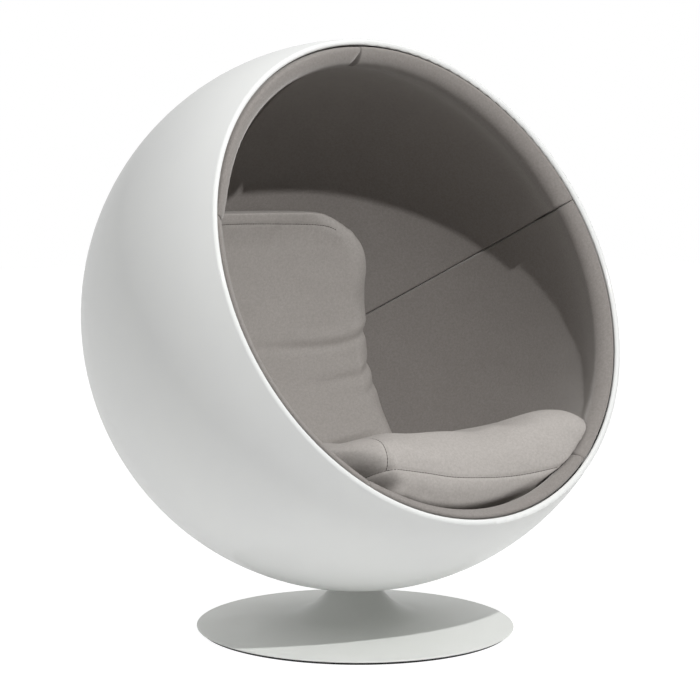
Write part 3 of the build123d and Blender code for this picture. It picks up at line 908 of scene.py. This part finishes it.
def back_cushion():
    piece = soft_copy("back_cushion_cover", "back_cushion")
    mesh = piece.data
    points, normals = get_points(mesh), get_normals(mesh)
    away = points - BALL_CENTRE
    side, height = away[:, 0], away[:, 2]
    facing = step_up(-normals[:, 1], 0.1, 0.6)
    pressed = against_lining(points)

    # Under its top edge the front stays flat, up to a tight turn
    face = BALL_CENTRE[1] + BACK_FACE_CENTRE + np.sqrt(BACK_FACE_RADIUS**2 - side**2 - height**2)
    fallen = np.clip(points[:, 1] - face, 0, 0.035) * step_up(-normals[:, 1], -0.35, 0.1)
    corner = step_up(np.abs(side), 0.110, 0.235)
    points[:, 1] -= (TOP_FLATNESS - CORNER_GIVE * corner) * fallen * step_up(height, 0.040, 0.170)
    points[:, 2] -= TOP_DROP * (1 + corner) * step_up(height, 0.120, 0.200)
    wave = smooth_noise(points, 0.16, 21) * 0.0018 + smooth_noise(points, 0.055, 22) * 0.0005
    points += normals * (wave * facing)[:, None]
    points = keep_clear(points, COVER_CLEARANCE)
    set_points(mesh, points)
    seam = step_up(height, 0.10, BACK_SEAM_HEIGHT) * facing
    held = np.clip(np.maximum(seam, pressed), 0, 1)
    free = 1 - step_up(height, -0.060, BACK_SEAM_HEIGHT)
    stuff(piece, held, free, STUFFING_PRESSURE, BACK_SWELL)
    subdivide(piece)
    carve_back(piece)
    # A dark thread along the seam, painted shade for its crevice
    line = smooth_line(BACK_SEAM)[SEAM_ENDS:-SEAM_ENDS]
    starts = BALL_CENTRE + np.stack([line[:, 0], np.full(len(line), -0.5), line[:, 1]], axis=1)
    lay_painted_seam_shade("back_seam", piece, starts, (0, 1, 0), "back_cushion")
    finish_soft(piece, "back_cushion", ["back_cushion"], "cushion_fabric")


def carve_back(piece):
    """The seam under the top edge, and the folds where the cushion has slumped."""
    points, normals = get_points(piece.data), get_normals(piece.data)
    away = points - BALL_CENTRE
    side, height = away[:, 0], away[:, 2]
    flat = np.stack([side, height], axis=1)
    facing = step_up(-normals[:, 1], 0.0, 0.4)
    depth = np.zeros(len(points))
    near, where = from_line(flat, smooth_line(BACK_SEAM))
    fade = step_up(where, 0.0, 0.2) * step_up(1 - where, 0.0, 0.2)
    depth += facing * fade * (0.0008 * bump_shape(near, 0.0034))
    under = bump_shape(height - (BACK_SEAM_HEIGHT - PUCKER_DROP), PUCKER_DROP)
    pucker = smooth_noise(np.stack([side, 0.12 * height, 0 * side], axis=1), PUCKER_WIDTH, 23)
    depth += facing * under * PUCKER_DEPTH * pucker
    on_side = step_up(np.abs(normals[:, 0]), 0.3, 0.8)
    for corners, deep, wide in BACK_FOLDS:
        line = smooth_line(corners)
        near, where = from_line(flat, line)
        outer = where if abs(corners[-1][0]) > abs(corners[0][0]) else 1 - where
        fade = step_up(outer, 0.0, 0.75)
        above = height - np.interp(side, line[:, 0], line[:, 1])
        ridge = bump_shape(above - 1.9 * wide, 1.4 * wide) * step_up(np.abs(side), 0.05, 0.16)
        fold = bump_shape(near, wide) - FOLD_RIDGE * ridge
        depth += np.maximum(facing, on_side) * fade * deep * fold
    points = keep_clear(points - normals * depth[:, None], SEWN_CLEARANCE)
    set_points(piece.data, points)


# ---------------------------------------------------------------- light, floor and camera

def key_lamp():
    """A small hard disc high in front, where the edge of the rim's shadow in the photograph puts it."""
    data = bpy.data.lights.new("key", "AREA")
    data.shape = "DISK"
    data.size = KEY_SIZE
    data.energy = KEY_WATTS
    lamp = bpy.data.objects.new("key", data)
    bpy.context.scene.collection.objects.link(lamp)
    lamp.location = KEY_PLACE
    aim = Vector(KEY_TARGET) - Vector(KEY_PLACE)
    lamp.rotation_euler = aim.to_track_quat("-Z", "Y").to_euler()


def build_studio():
    """A small hard key high in front, and a pale surround that is dim in front of the opening."""
    key_lamp()
    world = bpy.data.worlds.new("studio")
    bpy.context.scene.world = world
    world.use_nodes = True
    graph = Graph.of_tree(world.node_tree, "ShaderNodeOutputWorld")
    direction = graph.node("ShaderNodeTexCoord").outputs["Generated"]
    facing = graph.node("ShaderNodeVectorMath", {0: direction, 1: (0, -1, 0)}, operation="DOT_PRODUCT")
    ahead = facing.outputs["Value"]
    behind = graph.spread(ahead, *SKY_BEHIND)
    before = graph.spread(ahead, *SKY_BEFORE)
    to_side = graph.node("ShaderNodeSeparateXYZ", {"Vector": direction}).outputs["X"]
    to_left = graph.spread(to_side, *SKY_LEFT)
    strength = graph.math("MULTIPLY", graph.math("MINIMUM", behind, before), to_left)
    light = graph.node("ShaderNodeBackground", {"Color": (1, 1, 1, 1), "Strength": strength})
    seen = graph.node("ShaderNodeBackground", {"Color": (1, 1, 1, 1), "Strength": 1.0})
    mix = graph.node(
        "ShaderNodeMixShader", {0: graph.seen(), 1: light.outputs[0], 2: seen.outputs[0]}
    )
    graph.feed(graph.output.inputs["Surface"], mix.outputs[0])


def build_floor():
    """A floor that shows white and still takes the chair's shadow; far in front it throws back little."""
    half = FLOOR_HALF
    corners = [(-half, -half, 0), (half, -half, 0), (half, half, 0), (-half, half, 0)]
    floor = new_object("floor", corners, [(0, 1, 2, 3)], smooth=False)
    graph = Graph("floor_white")
    place = graph.node("ShaderNodeSeparateXYZ", {"Vector": graph.place()})
    near = graph.spread(place.outputs["Y"], *FLOOR_TURN)
    tone = graph.mix(near, FLOOR_DIM, FLOOR_PALE)
    diffuse = graph.node("ShaderNodeBsdfDiffuse", {"Color": tone})
    bright = graph.node("ShaderNodeBsdfDiffuse", {"Color": FLOOR_SHADED})
    glow = graph.node("ShaderNodeEmission", {"Color": (1, 1, 1, 1), "Strength": FLOOR_GLOW})
    shown = graph.node("ShaderNodeAddShader", {0: bright.outputs[0], 1: glow.outputs[0]})
    mix = graph.node(
        "ShaderNodeMixShader", {0: graph.seen(), 1: diffuse.outputs[0], 2: shown.outputs[0]}
    )
    graph.feed(graph.output.inputs["Surface"], mix.outputs[0])
    floor.data.materials.append(graph.material)


def build_camera():
    """The camera that was fitted to the photograph."""
    look = Vector(CAMERA_LOOK).normalized()
    level = look.cross(Vector((0, 0, 1))).normalized()
    upright = level.cross(look)
    right = level * math.cos(CAMERA_ROLL) + upright * math.sin(CAMERA_ROLL)
    up = upright * math.cos(CAMERA_ROLL) - level * math.sin(CAMERA_ROLL)
    data = bpy.data.cameras.new("camera")
    data.lens = CAMERA_LENS
    data.sensor_width = SENSOR
    data.clip_end = 100
    camera = bpy.data.objects.new("camera", data)
    bpy.context.scene.collection.objects.link(camera)
    turn = Matrix((right, up, -look)).transposed()
    camera.matrix_world = Matrix.Translation(CAMERA_PLACE) @ turn.to_4x4()
    bpy.context.scene.camera = camera


bpy.context.scene.view_settings.view_transform = "Standard"
build_camera()
build_studio()
build_floor()
dress_cad_nodes()
for number, gore in enumerate(GORES):
    lining_gore(number, gore)
seat_cushion()
back_cushion()
